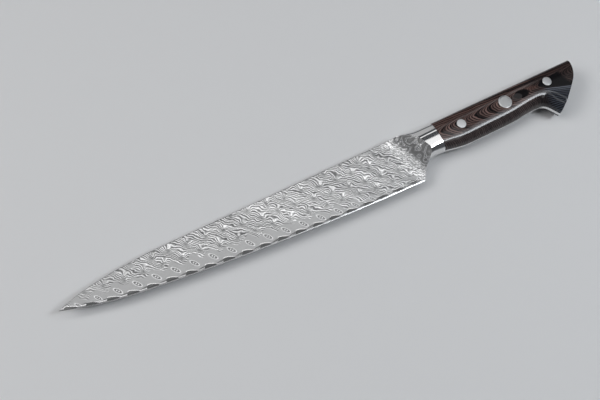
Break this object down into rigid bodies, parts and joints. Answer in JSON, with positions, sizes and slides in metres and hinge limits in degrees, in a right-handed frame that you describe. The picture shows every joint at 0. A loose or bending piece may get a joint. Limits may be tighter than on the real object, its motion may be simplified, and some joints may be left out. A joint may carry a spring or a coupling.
{
  "type": "carving knife",
  "caption": "Long slim carving knife with a patterned laminated blade, polished bolster and riveted laminated wood handle.",
  "frame": {"origin": "below the middle of the knife's bounding box, at the height of the lowest point of its right side", "axes": "+X from the tip to the butt, +Y from the cutting edge to the spine, +Z out of the left side, as the knife lies on its right side"},
  "size_m": [0.3608, 0.0332, 0.0176],
  "materials": {
    "core_steel": "satin, with a polished cutting bevel",
    "patterned_steel": "etched pattern-welded layers, satin",
    "polished_steel": "mirror polished",
    "laminated_wood": "dark brown and black resin-filled laminate, glossy",
    "rivet_steel": "polished flush",
    "medallion_steel": "satin, bare"
  },
  "bodies": {
    "root": {"blade_core_and_tang": "core_steel", "left_cladding": "patterned_steel", "right_cladding": "patterned_steel", "left_bolster": "polished_steel", "right_bolster": "polished_steel", "left_scale": "laminated_wood", "right_scale": "laminated_wood", "front_rivet_stud": "rivet_steel", "front_rivet_socket": "rivet_steel", "centre_rivet_stud": "rivet_steel", "centre_rivet_socket": "rivet_steel", "rear_rivet_stud": "rivet_steel", "rear_rivet_socket": "rivet_steel", "left_medallion": "medallion_steel", "right_medallion": "medallion_steel"}
  },
  "joints": []
}
